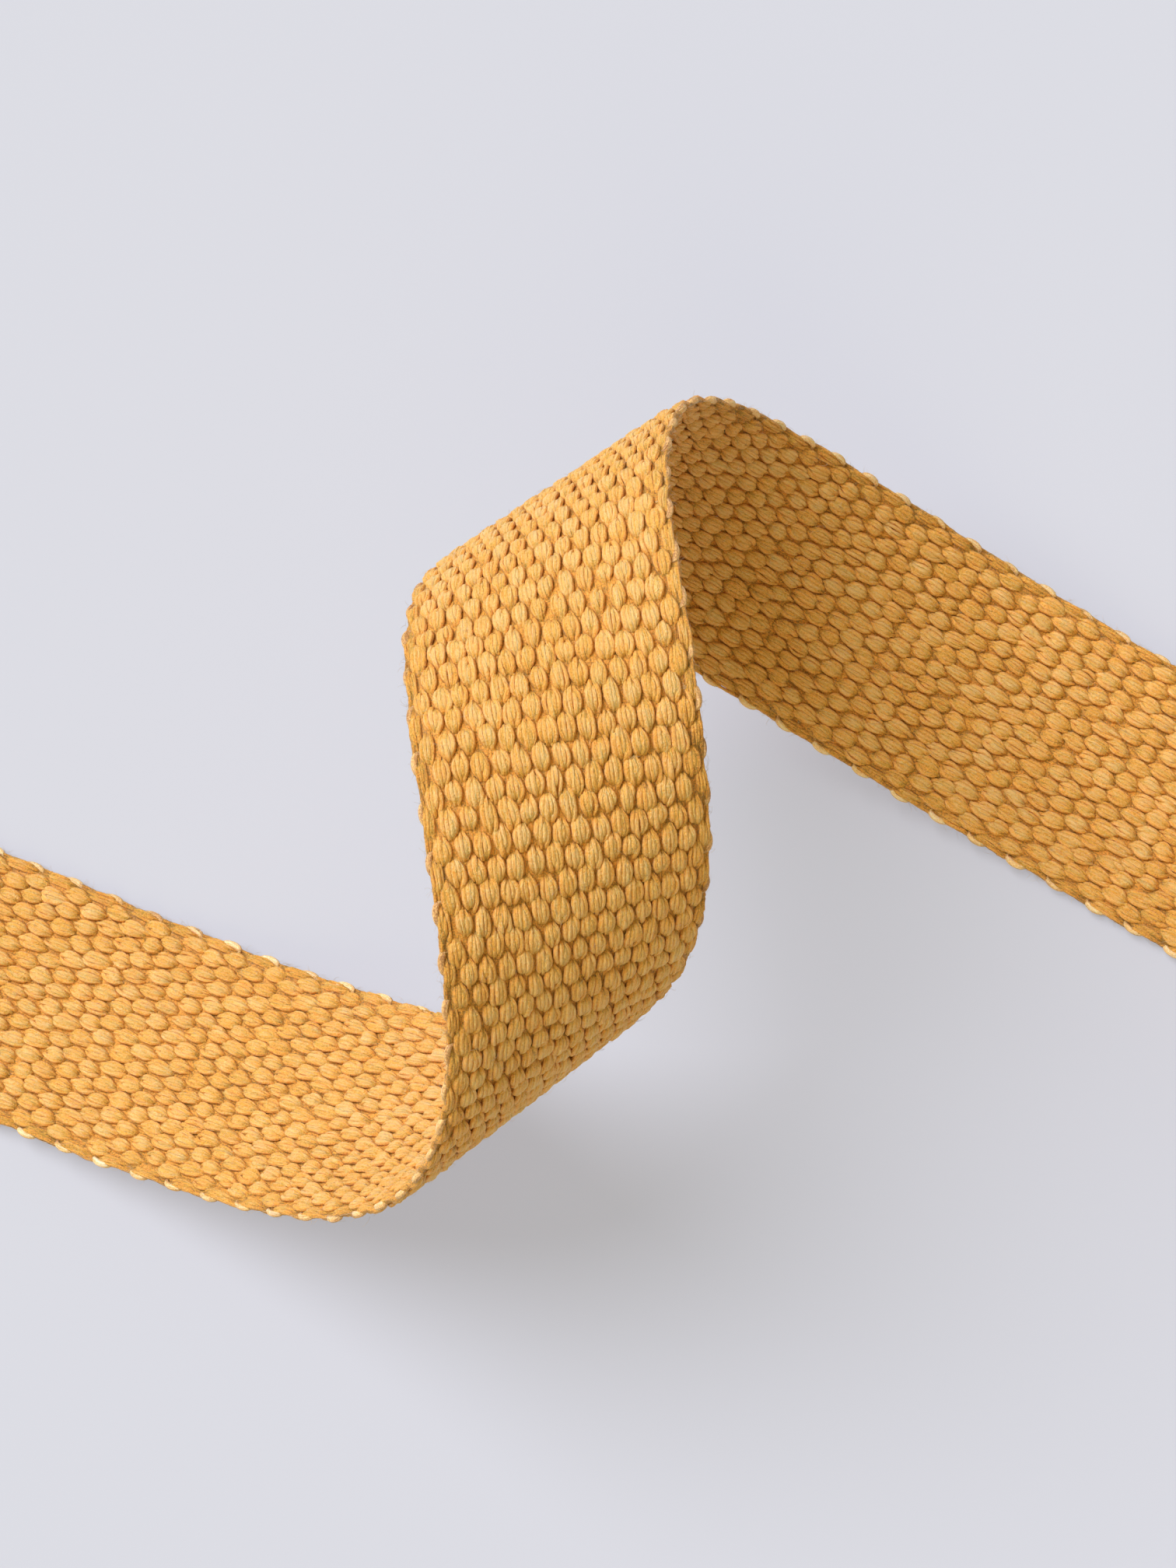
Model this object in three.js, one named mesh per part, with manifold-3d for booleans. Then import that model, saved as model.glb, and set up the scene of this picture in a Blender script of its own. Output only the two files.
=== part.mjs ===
// A martial arts belt: one flat strap of coarse woven cotton webbing that lies on a surface with a
// single standing loop, its spare length rolled up and tied, and its free tip hemmed and box-stitched.
// Units are millimetres and degrees. +Z is up, and z = 0 is the surface that the belt lies on.

import * as THREE from "three";
import { mergeVertices } from "three/addons/utils/BufferGeometryUtils.js";
import Module from "manifold-3d";

// Webbing
const BELT_LENGTH = 2600;
const WIDTH = 40;
const THICKNESS = 2.6;

// The strap's way along the surface. Distance is measured along its centre line, from START.
const START = [-124.35, -2.5];
const START_HEADING = -22.9;
const TIP_AT = -62;
const ROLL_AT = 452;

// The loop. The strap bends about straight rulings: the first half of its turn about one level
// direction, the second half about another. Each bend is [length, turn], and the last one takes
// what is left of the full turn and fades out as the strap comes down to the surface.
const LIFT_OFF_AT = 37.5;
const FIRST_AXIS = 37.8;
const SECOND_AXIS = 33.6;
const BENDS = [
  [60, 34],
  [50, 52],
  [56, 79],
  [36, 60],
];
const BEND_SOFTENING = 10;
const AXIS_CHANGE = 80;
const LONGEST_FADE = 260;
const SHORTEST_FADE = 100;

// The rulings turn square to the strap before the hem and before the roll.
const SQUARE_AFTER_TIP = 50;
const SQUARE_BEFORE_ROLL = 15;
const SQUARING = 40;

// Hem at the free tip: the end is turned back over the top and box-stitched.
const HEM_LENGTH = 22;
const LAYER_GAP = 0.3;
const TIP_LIFT = 0.8;
const TIP_LIFT_HOLDS = 3;
const TIP_SETTLES_OVER = 25;
const THREAD = 0.5;
const STITCH_LINE = 0.9;
const STITCH_BOX = [15, 33];
const BOX_SETBACK = 1;

// Roll of the spare length, standing on its rim
const CORE_RADIUS = 8.5;
const LAYER_PITCH = 2.7;
const BLUNT_END = 8;

// Tape that ties the roll, through its core and round one side
const TAPE_WIDTH = 8;
const TAPE_THICKNESS = 0.8;
const TAPE_CORNER = 1.6;
const TIE_ANGLE = 40;
const KNOT = [11, 8, 4.4];
const TAIL_WIDTH = 6.4;
const TAIL_TURNS = [
  [2.7, 44],
  [-2.7, -40],
];

// Steps
const ROUTE_STEP = 0.5;
const FADE_STEP = 1e-6;
const CURVED_STEP = 3;
const FLAT_STEP = 9;
const ROLL_SEGMENTS = 72;
const HAIRPIN_SEGMENTS = 8;

const rad = THREE.MathUtils.degToRad;
const wasm = await Module();
wasm.setup();

const webbing = new THREE.MeshStandardMaterial({ color: 0xe0a04a, roughness: 0.9, metalness: 0 });
const thread = new THREE.MeshStandardMaterial({ color: 0xefbd72, roughness: 0.7, metalness: 0 });
const tape = new THREE.MeshStandardMaterial({ color: 0xe9dfc8, roughness: 0.85, metalness: 0 });

// From 0 to 1 with level ends.
function smooth(x) {
  const t = Math.min(Math.max(x, 0), 1);
  return t * t * (3 - 2 * t);
}

// A step up at zero, softened over BEND_SOFTENING to each side.
function softStep(x) {
  return smooth((x + BEND_SOFTENING) / (2 * BEND_SOFTENING));
}

// How sharply the strap turns at distance s, before it is scaled to one full turn.
function bendRate(s, fade) {
  let rate = 0;
  let at = LIFT_OFF_AT;
  let rest = 360;
  for (const [length, turn] of BENDS) {
    rate += (turn / length) * (softStep(s - at) - softStep(s - at - length));
    at += length;
    rest -= turn;
  }
  return rate + ((2 * rest) / fade) * Math.max(1 - (s - at) / fade, 0) * softStep(s - at);
}

// The strap's centre line and its frames [along, across, up], for a last bend of a given length.
function layRoute(fade) {
  const count = Math.round((ROLL_AT - TIP_AT) / ROUTE_STEP) + 1;
  const distances = Array.from({ length: count }, (_, i) => TIP_AT + i * ROUTE_STEP);
  const rates = distances.map((s) => bendRate(s, fade));
  const total = rates.reduce((sum, rate) => sum + rate, 0) * ROUTE_STEP;
  const turns = rates.map((rate) => (rate / total) * 2 * Math.PI);
  let turned = 0;
  const top = distances.find((s, i) => (turned += turns[i] * ROUTE_STEP) >= Math.PI);

  // cot of the angle between the strap and the ruling it bends about
  const overHeading = 2 * FIRST_AXIS - START_HEADING;
  const cotFirst = 1 / Math.tan(rad(FIRST_AXIS - START_HEADING));
  const cotSecond = 1 / Math.tan(rad(overHeading - SECOND_AXIS));
  const cots = distances.map((s) => {
    const cot = THREE.MathUtils.lerp(cotFirst, cotSecond, smooth((s - top) / AXIS_CHANGE + 0.5));
    const afterTip = smooth((s - TIP_AT - SQUARE_AFTER_TIP) / SQUARING);
    const beforeRoll = smooth((ROLL_AT - SQUARE_BEFORE_ROLL - s) / SQUARING);
    return cot * afterTip * beforeRoll;
  });

  const up = new THREE.Vector3(0, 0, 1);
  const along = new THREE.Vector3(1, 0, 0).applyAxisAngle(up, rad(START_HEADING));
  const frame = { along, across: new THREE.Vector3().crossVectors(up, along), up: up.clone() };
  const point = new THREE.Vector3(START[0], START[1], THICKNESS / 2);
  point.addScaledVector(along, TIP_AT);
  return distances.map((s, i) => {
    const { along: a, across: w, up: n } = frame;
    const ruling = w.clone().addScaledVector(a, cots[i]);
    const here = { s, point: point.clone(), along: a.clone(), up: n.clone(), ruling };
    const axis = ruling.clone().normalize().negate();
    const before = a.clone();
    for (const v of [a, w, n]) v.applyAxisAngle(axis, turns[i] * ROUTE_STEP);
    point.addScaledVector(before.add(a), ROUTE_STEP / 2);
    return here;
  });
}

// The route whose last bend is just as long as it takes to land on the surface.
function landedRoute() {
  let short = SHORTEST_FADE;
  let long = LONGEST_FADE;
  let route = layRoute(short);
  while (long - short > FADE_STEP) {
    const fade = (short + long) / 2;
    route = layRoute(fade);
    if (route.at(-1).point.z > THICKNESS / 2) short = fade;
    else long = fade;
  }
  return route;
}

// How much higher than the flat strap the hemmed tip lies.
function tipLift(s) {
  return TIP_LIFT * (1 - smooth((s - TIP_AT - HEM_LENGTH - TIP_LIFT_HOLDS) / TIP_SETTLES_OVER));
}

// A cross-section of the strap: its middle, the vector from there to its left edge, and its normal.
function station(middle, half, normal) {
  return { middle, half, normal };
}

function runStations(route) {
  const curvedFrom = LIFT_OFF_AT - BEND_SOFTENING;
  const stations = [];
  let next = TIP_AT + HEM_LENGTH / 2;
  for (const { s, point, up, ruling } of route) {
    if (s < next || s > ROLL_AT - BLUNT_END) continue;
    const middle = point.clone();
    middle.z = Math.max(middle.z, THICKNESS / 2) + tipLift(s);
    stations.push(station(middle, ruling.clone().multiplyScalar(WIDTH / 2), up));
    next = s + (s > curvedFrom && s < ROLL_AT - SQUARING ? CURVED_STEP : FLAT_STEP);
    if (s < curvedFrom && s > TIP_AT + HEM_LENGTH) next = s + CURVED_STEP;
  }
  return stations;
}

// The turned-back end: its top layer, then the hairpin down into the bottom layer.
function hemStations(first) {
  const { along, ruling } = first;
  const half = ruling.clone().multiplyScalar(WIDTH / 2);
  const up = new THREE.Vector3(0, 0, 1);
  const radius = (THICKNESS + LAYER_GAP) / 2;
  const centre = first.point.clone().addScaledVector(along, radius);
  centre.z += TIP_LIFT + radius;
  const end = centre.clone().addScaledVector(up, radius).addScaledVector(along, HEM_LENGTH - radius);
  const stations = [station(end, half, up.clone().negate())];
  for (let i = 0; i <= HAIRPIN_SEGMENTS; i++) {
    const turned = (Math.PI * i) / HAIRPIN_SEGMENTS;
    const outward = up.clone().multiplyScalar(Math.cos(turned));
    outward.addScaledVector(along, -Math.sin(turned));
    const middle = centre.clone().addScaledVector(outward, radius);
    stations.push(station(middle, half, outward.clone().negate()));
  }
  return stations;
}

// A box whose cross-sections are moved onto the stations, and which the surface stops at z = 0.
function strapGeometry(stations) {
  const steps = stations.length - 1;
  const box = new THREE.BoxGeometry(steps, 2, THICKNESS, steps, 1, 1);
  const corner = new THREE.Vector3();
  const places = box.getAttribute("position");
  for (let i = 0; i < places.count; i++) {
    corner.fromBufferAttribute(places, i);
    const at = stations[Math.round(corner.x + steps / 2)];
    const place = at.middle.clone().addScaledVector(at.half, corner.y);
    place.addScaledVector(at.normal, corner.z);
    places.setXYZ(i, place.x, place.y, Math.max(place.z, 0));
  }
  return box;
}

function toSolid(geometry) {
  const bare = geometry.clone();
  bare.deleteAttribute("normal");
  bare.deleteAttribute("uv");
  const merged = mergeVertices(bare, 1e-4);
  return new wasm.Manifold(
    new wasm.Mesh({
      numProp: 3,
      vertProperties: new Float32Array(merged.getAttribute("position").array),
      triVerts: new Uint32Array(merged.index.array),
    }),
  );
}

function toGeometry(solid) {
  const mesh = solid.getMesh();
  const geometry = new THREE.BufferGeometry();
  geometry.setAttribute("position", new THREE.Float32BufferAttribute(mesh.vertProperties, 3));
  geometry.setIndex(new THREE.Uint32BufferAttribute(mesh.triVerts, 1));
  geometry.computeVertexNormals();
  return geometry;
}

function named(name, geometry, material) {
  const mesh = new THREE.Mesh(geometry, material);
  mesh.name = name;
  return mesh;
}

// Places a mesh by the directions of its own X, Y and Z axes and its origin.
function place(mesh, x, y, z, origin) {
  mesh.applyMatrix4(new THREE.Matrix4().makeBasis(x, y, z).setPosition(origin));
  return mesh;
}

// The box stitch seen from above: a rectangle and its diagonals, as one flat piece of thread.
function boxStitchGeometry() {
  const [length, width] = STITCH_BOX;
  const outline = new THREE.Shape();
  outline.moveTo(-length / 2, -width / 2);
  outline.lineTo(length / 2, -width / 2);
  outline.lineTo(length / 2, width / 2);
  outline.lineTo(-length / 2, width / 2);
  outline.closePath();
  const slope = Math.atan2(width, length);
  const x = length / 2 - STITCH_LINE;
  const y = width / 2 - STITCH_LINE;
  const clearX = STITCH_LINE / 2 / Math.sin(slope);
  const clearY = STITCH_LINE / 2 / Math.cos(slope);
  const triangles = [1, -1].flatMap((side) => [
    [
      [side * clearX, 0],
      [side * x, y - clearY],
      [side * x, clearY - y],
    ],
    [
      [0, side * clearY],
      [x - clearX, side * y],
      [clearX - x, side * y],
    ],
  ]);
  for (const triangle of triangles) {
    const hole = new THREE.Path(triangle.map(([px, py]) => new THREE.Vector2(px, py)));
    hole.closePath();
    outline.holes.push(hole);
  }
  return new THREE.ExtrudeGeometry(outline, { depth: THREAD, bevelEnabled: false });
}

function makeHemThread(name, first, z) {
  const across = first.ruling.clone().normalize();
  const up = new THREE.Vector3(0, 0, 1);
  const centre = first.point.clone().addScaledVector(first.along, HEM_LENGTH / 2 + BOX_SETBACK);
  centre.z = z;
  const mesh = named(name, boxStitchGeometry(), thread);
  return place(mesh, first.along, across, up, centre);
}

function rollGeometry(inner, outer, halfWidth) {
  const profile = [
    [inner, -halfWidth],
    [outer, -halfWidth],
    [outer, halfWidth],
    [inner, halfWidth],
    [inner, -halfWidth],
  ];
  return new THREE.LatheGeometry(
    profile.map(([r, y]) => new THREE.Vector2(r, y)),
    ROLL_SEGMENTS,
  );
}

function roundedRect(path, left, right, low, high, corner) {
  path.moveTo(left + corner, low);
  path.lineTo(right - corner, low);
  path.absarc(right - corner, low + corner, corner, -Math.PI / 2, 0);
  path.lineTo(right, high - corner);
  path.absarc(right - corner, high - corner, corner, 0, Math.PI / 2);
  path.lineTo(left + corner, high);
  path.absarc(left + corner, high - corner, corner, Math.PI / 2, Math.PI);
  path.lineTo(left, low + corner);
  path.absarc(left + corner, low + corner, corner, Math.PI, Math.PI * 1.5);
  return path;
}

// The tape's closed band: its outline across the roll and outwards, as wide as the tape.
function tapeGeometry(rollRadius) {
  const side = WIDTH / 2 + LAYER_GAP;
  const low = Math.sqrt(CORE_RADIUS ** 2 - (TAPE_WIDTH / 2) ** 2) - LAYER_GAP;
  const high = rollRadius + LAYER_GAP;
  const t = TAPE_THICKNESS;
  const outer = roundedRect(new THREE.Shape(), -side - t, side + t, low - t, high + t, TAPE_CORNER);
  const inner = roundedRect(new THREE.Path(), -side, side, low, high, TAPE_CORNER - t);
  outer.holes.push(inner);
  const band = new THREE.ExtrudeGeometry(outer, {
    depth: TAPE_WIDTH,
    bevelEnabled: false,
    curveSegments: 4,
  });
  return band.translate(0, 0, -TAPE_WIDTH / 2);
}

// The knot on the tape's outer run, with two short tails that lie round the roll.
function knotGeometry(rollRadius) {
  const seat = rollRadius + 2 * LAYER_GAP + TAPE_THICKNESS;
  const ball = new THREE.SphereGeometry(0.5, 20, 14).scale(KNOT[0], KNOT[2], KNOT[1]);
  ball.translate(0, seat + KNOT[2] / 2, 0);
  let knot = toSolid(ball);
  for (const [from, to] of TAIL_TURNS) {
    const start = rad(90 - from);
    const end = rad(90 - to);
    const sector = new THREE.Shape();
    sector.absarc(0, 0, seat + TAPE_THICKNESS, start, end, to > from);
    sector.absarc(0, 0, seat, end, start, to < from);
    sector.closePath();
    const tail = new THREE.ExtrudeGeometry(sector, {
      depth: TAIL_WIDTH,
      bevelEnabled: false,
      curveSegments: 12,
    });
    tail.translate(0, 0, -TAIL_WIDTH / 2);
    tail.rotateY(Math.PI / 2);
    knot = knot.add(toSolid(tail));
  }
  return toGeometry(knot);
}

const route = landedRoute();
const tip = route[0];
const rollEnd = route.at(-1);
const up = new THREE.Vector3(0, 0, 1);
const level = rollEnd.along.clone().setZ(0).normalize();
const axle = new THREE.Vector3().crossVectors(up, level);

const rolledLength = BELT_LENGTH - (ROLL_AT - TIP_AT);
const rollRadius = Math.sqrt(CORE_RADIUS ** 2 + (rolledLength * LAYER_PITCH) / Math.PI);
const rollCentre = rollEnd.point.clone().setZ(rollRadius);

// A lathe's axis is its own Y, and its first vertex lies along its own Z.
const down = up.clone().negate();
const sideways = new THREE.Vector3().crossVectors(axle, down);
const roll = named("webbing_roll", rollGeometry(CORE_RADIUS, rollRadius, WIDTH / 2), webbing);
place(roll, sideways, axle, down, rollCentre);

const clearance = new THREE.CylinderGeometry(
  rollRadius + LAYER_GAP,
  rollRadius + LAYER_GAP,
  2 * WIDTH,
  2 * ROLL_SEGMENTS,
);
clearance.applyMatrix4(new THREE.Matrix4().makeBasis(sideways, axle, down).setPosition(rollCentre));
const strap = toSolid(strapGeometry([...hemStations(tip), ...runStations(route)]));
const run = named("webbing_run", toGeometry(strap.subtract(toSolid(clearance))), webbing);

const hemTop = TIP_LIFT + 2 * THICKNESS + 2 * LAYER_GAP;
const needleThread = makeHemThread("hem_needle_thread", tip, hemTop);
const bobbinThread = makeHemThread("hem_bobbin_thread", tip, 0);

const tieOut = level.clone().multiplyScalar(Math.cos(rad(TIE_ANGLE)));
tieOut.addScaledVector(up, Math.sin(rad(TIE_ANGLE)));
const tieSide = new THREE.Vector3().crossVectors(axle, tieOut);
const tieTape = named("tie_tape", tapeGeometry(rollRadius), tape);
place(tieTape, axle, tieOut, tieSide, rollCentre);
const tieKnot = named("tie_knot", knotGeometry(rollRadius), tape);
place(tieKnot, axle, tieOut, tieSide, rollCentre);

const group = new THREE.Group();
group.add(run, roll, needleThread, bobbinThread, tieTape, tieKnot);

export default group;
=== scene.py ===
import math

import bpy
import numpy as np
from mathutils import Matrix, Vector


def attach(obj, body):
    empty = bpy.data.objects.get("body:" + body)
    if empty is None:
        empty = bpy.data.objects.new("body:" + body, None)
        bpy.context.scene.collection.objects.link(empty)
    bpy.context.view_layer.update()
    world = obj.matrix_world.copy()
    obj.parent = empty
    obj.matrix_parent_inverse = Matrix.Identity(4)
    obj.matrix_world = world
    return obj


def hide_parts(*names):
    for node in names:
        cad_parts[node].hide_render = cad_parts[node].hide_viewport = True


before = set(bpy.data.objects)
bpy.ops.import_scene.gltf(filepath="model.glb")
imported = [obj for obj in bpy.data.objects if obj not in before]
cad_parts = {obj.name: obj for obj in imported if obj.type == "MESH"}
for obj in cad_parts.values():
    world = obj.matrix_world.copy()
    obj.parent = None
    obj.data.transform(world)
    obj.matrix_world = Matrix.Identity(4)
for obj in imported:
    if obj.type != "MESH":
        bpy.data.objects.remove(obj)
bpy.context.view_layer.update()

# A martial arts belt of coarse woven cotton webbing, modelled yarn by yarn.
# Lengths are in millimetres and angles in degrees until a mesh is made, which is in metres.
MM = 0.001

# ---- Camera: almost straight down on the loop, from about two thirds of a metre ----
TARGET = (-2.17, 15.69, 0.0)
DISTANCE = 666.8
TILT = -13.44
LEAN = -4.68
ROLL = -0.28
LENS = 131.4
SENSOR = 36.0

# ---- Webbing, as in the CAD part ----
BELT_LENGTH = 2600.0
WIDTH = 40.0
THICKNESS = 2.6
START = (-124.35, -2.5)
START_HEADING = -22.9
TIP_AT = -62.0
ROLL_AT = 452.0
LIFT_OFF_AT = 37.5
FIRST_AXIS = 37.8
SECOND_AXIS = 33.6
BENDS = ((60, 34), (50, 52), (56, 79), (36, 60))
BEND_SOFTENING = 10.0
AXIS_CHANGE = 80.0
SHORTEST_FADE = 100.0
LONGEST_FADE = 260.0
SQUARE_AFTER_TIP = 50.0
SQUARE_BEFORE_ROLL = 15.0
SQUARING = 40.0
HEM_LENGTH = 22.0
LAYER_GAP = 0.3
TIP_LIFT = 0.8
TIP_LIFT_HOLDS = 3.0
TIP_SETTLES_OVER = 25.0
ROUTE_STEP = 0.5
FADE_TOLERANCE = 1e-4
RULING_ROUNDS = 8

# ---- Roll ----
CORE_RADIUS = 8.5
LAYER_PITCH = 2.7
ROLL_TURNS = 13.06

# ---- Tape that ties the roll ----
TAPE_WIDTH = 8.0
TAPE_THICKNESS = 0.8

# ---- Weave: 29 warp ends, each of four plies, that float over and under the picks of the weft ----
ENDS = 29
PLIES = 4
PICK = 3.44
END_PITCH = 1.345
WAVE = 0.82
WAVE_FLATNESS = 1.6
CREST_WIDTH = 2.56
CREST_HEIGHT = 0.98
CROSSING_WIDTH = 1.1
CROSSING_HEIGHT = 1.85
FLOAT_FULLNESS = 0.5
CORE_HALF = 0.3
# The outermost ends, and how much the ends next to each edge wave, as a share of WAVE
EDGE_END_WIDTH = 1.75
EDGE_END_HEIGHT = 1.35
EDGE_INSET = 0.1
EDGE_WAVES = (0.42, 0.8)
# A ply's share of its end's width and height where the end floats, and of both where it crosses
PLY_SHARE = 0.345
PLY_HEIGHT = 0.84
BUNCHED_SHARE = 0.55
# The plies of a float lie in an arch, its middle above its sides
ARCH_MIDDLE = 0.04
ARCH_DROP = 0.12
# How uneven the ends and the plies are, as standard deviations: shares, radians of phase, millimetres
END_WAVE_VARIES = 0.06
END_SHIFT = 0.28
END_WIDTH_VARIES = 0.09
END_HEIGHT_VARIES = 0.07
END_WANDER = 0.09
EDGE_WIDTH_VARIES = 0.05
PLY_RISE = 0.05
PLY_SHIFT = 0.24
PLY_WIDTH_VARIES = 0.14
PLY_WANDER = 0.05
RAGGED = 0.07
# Ends and rings for each mesh: groups keep each mesh to a moderate size
RUN_GROUP = 3
TURN_GROUP = 5
RUN_STEPS = 8
TURN_STEPS = 6
PLY_SIDES = 6
WHOLE_END_SIDES = 8
WHOLE_CORE_TURNS = 1.3

rng = np.random.default_rng(11)


def smooth(x):
    t = np.clip(x, 0, 1)
    return t * t * (3 - 2 * t)


def lerp(a, b, t):
    return a + (b - a) * t


def unit(v):
    return v / np.linalg.norm(v, axis=-1, keepdims=True)


# ---- The strap's way ----


def bend_rates(s, fade):
    """How sharply the strap turns at each distance, in radians per millimetre, one full turn in all."""
    def step(x):
        return smooth((x + BEND_SOFTENING) / (2 * BEND_SOFTENING))

    rates = np.zeros_like(s)
    at = LIFT_OFF_AT
    for length, turn in BENDS:
        rates += turn / length * (step(s - at) - step(s - at - length))
        at += length
    rest = 360 - sum(turn for _, turn in BENDS)
    rates += 2 * rest / fade * np.clip(1 - (s - at) / fade, 0, None) * step(s - at)
    return rates * 2 * math.pi / (rates.sum() * ROUTE_STEP)


def lay_route(fade):
    """Distances, centre line, frames (along, across, up) and the ruling's slant along the strap."""
    s = np.arange(TIP_AT, ROLL_AT + ROUTE_STEP / 2, ROUTE_STEP)
    rates = bend_rates(s, fade)
    top = np.interp(math.pi, np.cumsum(rates) * ROUTE_STEP, s)
    over_heading = 2 * FIRST_AXIS - START_HEADING
    first = 1 / math.tan(math.radians(FIRST_AXIS - START_HEADING))
    second = 1 / math.tan(math.radians(over_heading - SECOND_AXIS))
    slant = lerp(first, second, smooth((s - top) / AXIS_CHANGE + 0.5))
    slant *= smooth((s - TIP_AT - SQUARE_AFTER_TIP) / SQUARING)
    slant *= smooth((ROLL_AT - SQUARE_BEFORE_ROLL - s) / SQUARING)

    h = math.radians(START_HEADING)
    axes = np.array([[math.cos(h), math.sin(h), 0], [-math.sin(h), math.cos(h), 0], [0, 0, 1]])
    point = np.array([*START, THICKNESS / 2]) + axes[0] * TIP_AT
    points, frames = [], []
    for rate, cot in zip(rates, slant):
        points.append(point)
        frames.append(axes)
        angle = rate * ROUTE_STEP
        x, y, z = -unit(axes[1] + cot * axes[0])
        cross = np.array([[0, -z, y], [z, 0, -x], [-y, x, 0]])
        turn = np.eye(3) + math.sin(angle) * cross + (1 - math.cos(angle)) * cross @ cross
        turned = axes @ turn.T
        point = point + (axes[0] + turned[0]) * ROUTE_STEP / 2
        axes = turned
    return s, np.array(points), np.array(frames), slant


def landed_route():
    """The way whose last bend fades over just the length that brings the strap down to the surface."""
    short, long = SHORTEST_FADE, LONGEST_FADE
    while long - short > FADE_TOLERANCE:
        fade = (short + long) / 2
        route = lay_route(fade)
        if route[1][-1, 2] > THICKNESS / 2:
            short = fade
        else:
            long = fade
    return route


way_s, way_points, way_frames, way_slant = landed_route()
up = np.array([0.0, 0.0, 1.0])
level = unit(way_frames[-1, 0] * [1, 1, 0])
axle = np.cross(up, level)
rolled_length = BELT_LENGTH - (ROLL_AT - TIP_AT)
roll_radius = math.sqrt(CORE_RADIUS**2 + rolled_length * LAYER_PITCH / math.pi)
roll_centre = way_points[-1] * [1, 1, 0] + up * roll_radius
spiral_start = roll_radius - THICKNESS / 2
spiral_end = rolled_length / (math.pi * ROLL_TURNS) - spiral_start
spiral_pitch = (spiral_start - spiral_end) / ROLL_TURNS


def tip_lift(s):
    """How far the strap stands off the surface near its hem, whose stitches lie underneath."""
    return TIP_LIFT * (1 - smooth((s - TIP_AT - HEM_LENGTH - TIP_LIFT_HOLDS) / TIP_SETTLES_OVER))


def on_run(s, v, h):
    """Points of the lying and looping part: v to the left of the centre line, h above the strap."""
    s0 = s
    for _ in range(RULING_ROUNDS):
        s0 = s - v * np.interp(s0, way_s, way_slant)
    i = np.clip((s0 - TIP_AT) / ROUTE_STEP, 0, len(way_s) - 1.001)
    j = i.astype(int)
    f = (i - j)[..., None]
    point = lerp(way_points[j], way_points[j + 1], f)
    frames = lerp(way_frames[j], way_frames[j + 1], f[..., None])
    along, across, normal = frames[..., 0, :], frames[..., 1, :], frames[..., 2, :]
    point[..., 2] = np.maximum(point[..., 2], THICKNESS / 2) + tip_lift(s0)
    point += along * (np.minimum(s0 - TIP_AT, 0))[..., None]
    slant = np.interp(s0, way_s, way_slant)[..., None]
    return point + v[..., None] * (across + slant * along) + h[..., None] * normal


def turn_at(s):
    """How far the roll has turned, in radians, at distance s."""
    p = spiral_pitch / (2 * math.pi)
    inside = np.clip(spiral_start**2 - 2 * p * (s - ROLL_AT), spiral_end**2 / 4, None)
    return (spiral_start - np.sqrt(inside)) / p


def round_roll(turn, radius, v):
    """Points round the roll: turn in radians from its foot, v along its axle."""
    radial = np.sin(turn)[..., None] * level - np.cos(turn)[..., None] * up
    return roll_centre + radius[..., None] * radial + v[..., None] * axle


def on_roll(s, v, h):
    turn = turn_at(s)
    return round_roll(turn, spiral_start - spiral_pitch * turn / (2 * math.pi) - h, v)


def on_strap(s, v, h):
    s, v, h = np.broadcast_arrays(*(np.asarray(x, float) for x in (s, v, h)))
    rolled = (s > ROLL_AT)[..., None]
    return np.where(rolled, on_roll(s, v, h), on_run(np.minimum(s, ROLL_AT), v, h))


# The cut cloth's own coordinate u runs from the lower layer of one hem to that of the other. Beyond
# each end it goes round a hairpin and back over the top.
HAIRPIN = (THICKNESS + LAYER_GAP) / 2
HEM_TURN = math.pi * HAIRPIN
CLOTH_END = BELT_LENGTH - 2 * HAIRPIN
TURNED_BACK = HEM_TURN + HEM_LENGTH - HAIRPIN
# How far above a yarn the point is that gives the direction out of the cloth
NORMAL_STEP = 0.2


def on_cloth(u, v, h):
    """Points of the cloth, hems and all: v to the left of its centre line, h above its middle."""
    u, v, h = np.broadcast_arrays(*(np.asarray(x, float) for x in (u, v, h)))
    past = np.maximum(-u, u - CLOTH_END)
    turned = np.clip(past / HAIRPIN, 0, math.pi)
    reach = (HAIRPIN - h) * np.sin(turned) - np.maximum(past - HEM_TURN, 0)
    height = np.where(past > 0, HAIRPIN - (HAIRPIN - h) * np.cos(turned), h)
    s = np.where(past > 0, np.where(u < 0, -reach, CLOTH_END + reach), u)
    return on_strap(s + TIP_AT + HAIRPIN, v, height)


# ---- Meshes ----


def make_mesh(name, vertices, faces, material, layers=None):
    """A smooth mesh object. Faces are rows of vertex numbers, one array for each number of sides."""
    vertices = vertices.reshape(-1, 3) * MM
    vertices[:, 2] = np.maximum(vertices[:, 2], 0)
    mesh = bpy.data.meshes.new(name)
    mesh.vertices.add(len(vertices))
    mesh.vertices.foreach_set("co", vertices.ravel())
    corners = np.concatenate([f.ravel() for f in faces])
    sizes = np.concatenate([np.full(len(f), f.shape[1]) for f in faces])
    mesh.loops.add(len(corners))
    mesh.loops.foreach_set("vertex_index", corners.astype(np.int32))
    mesh.polygons.add(len(sizes))
    starts = np.cumsum(sizes) - sizes
    mesh.polygons.foreach_set("loop_start", starts.astype(np.int32))
    mesh.polygons.foreach_set("use_smooth", np.ones(len(sizes), bool))
    mesh.update(calc_edges=True)
    for layer, values in (layers or {}).items():
        attribute = mesh.attributes.new(layer, "FLOAT_VECTOR", "POINT")
        attribute.data.foreach_set("vector", values.reshape(-1).astype(np.float32))
    mesh.materials.append(material)
    thing = bpy.data.objects.new(name, mesh)
    bpy.context.scene.collection.objects.link(thing)
    return thing


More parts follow.
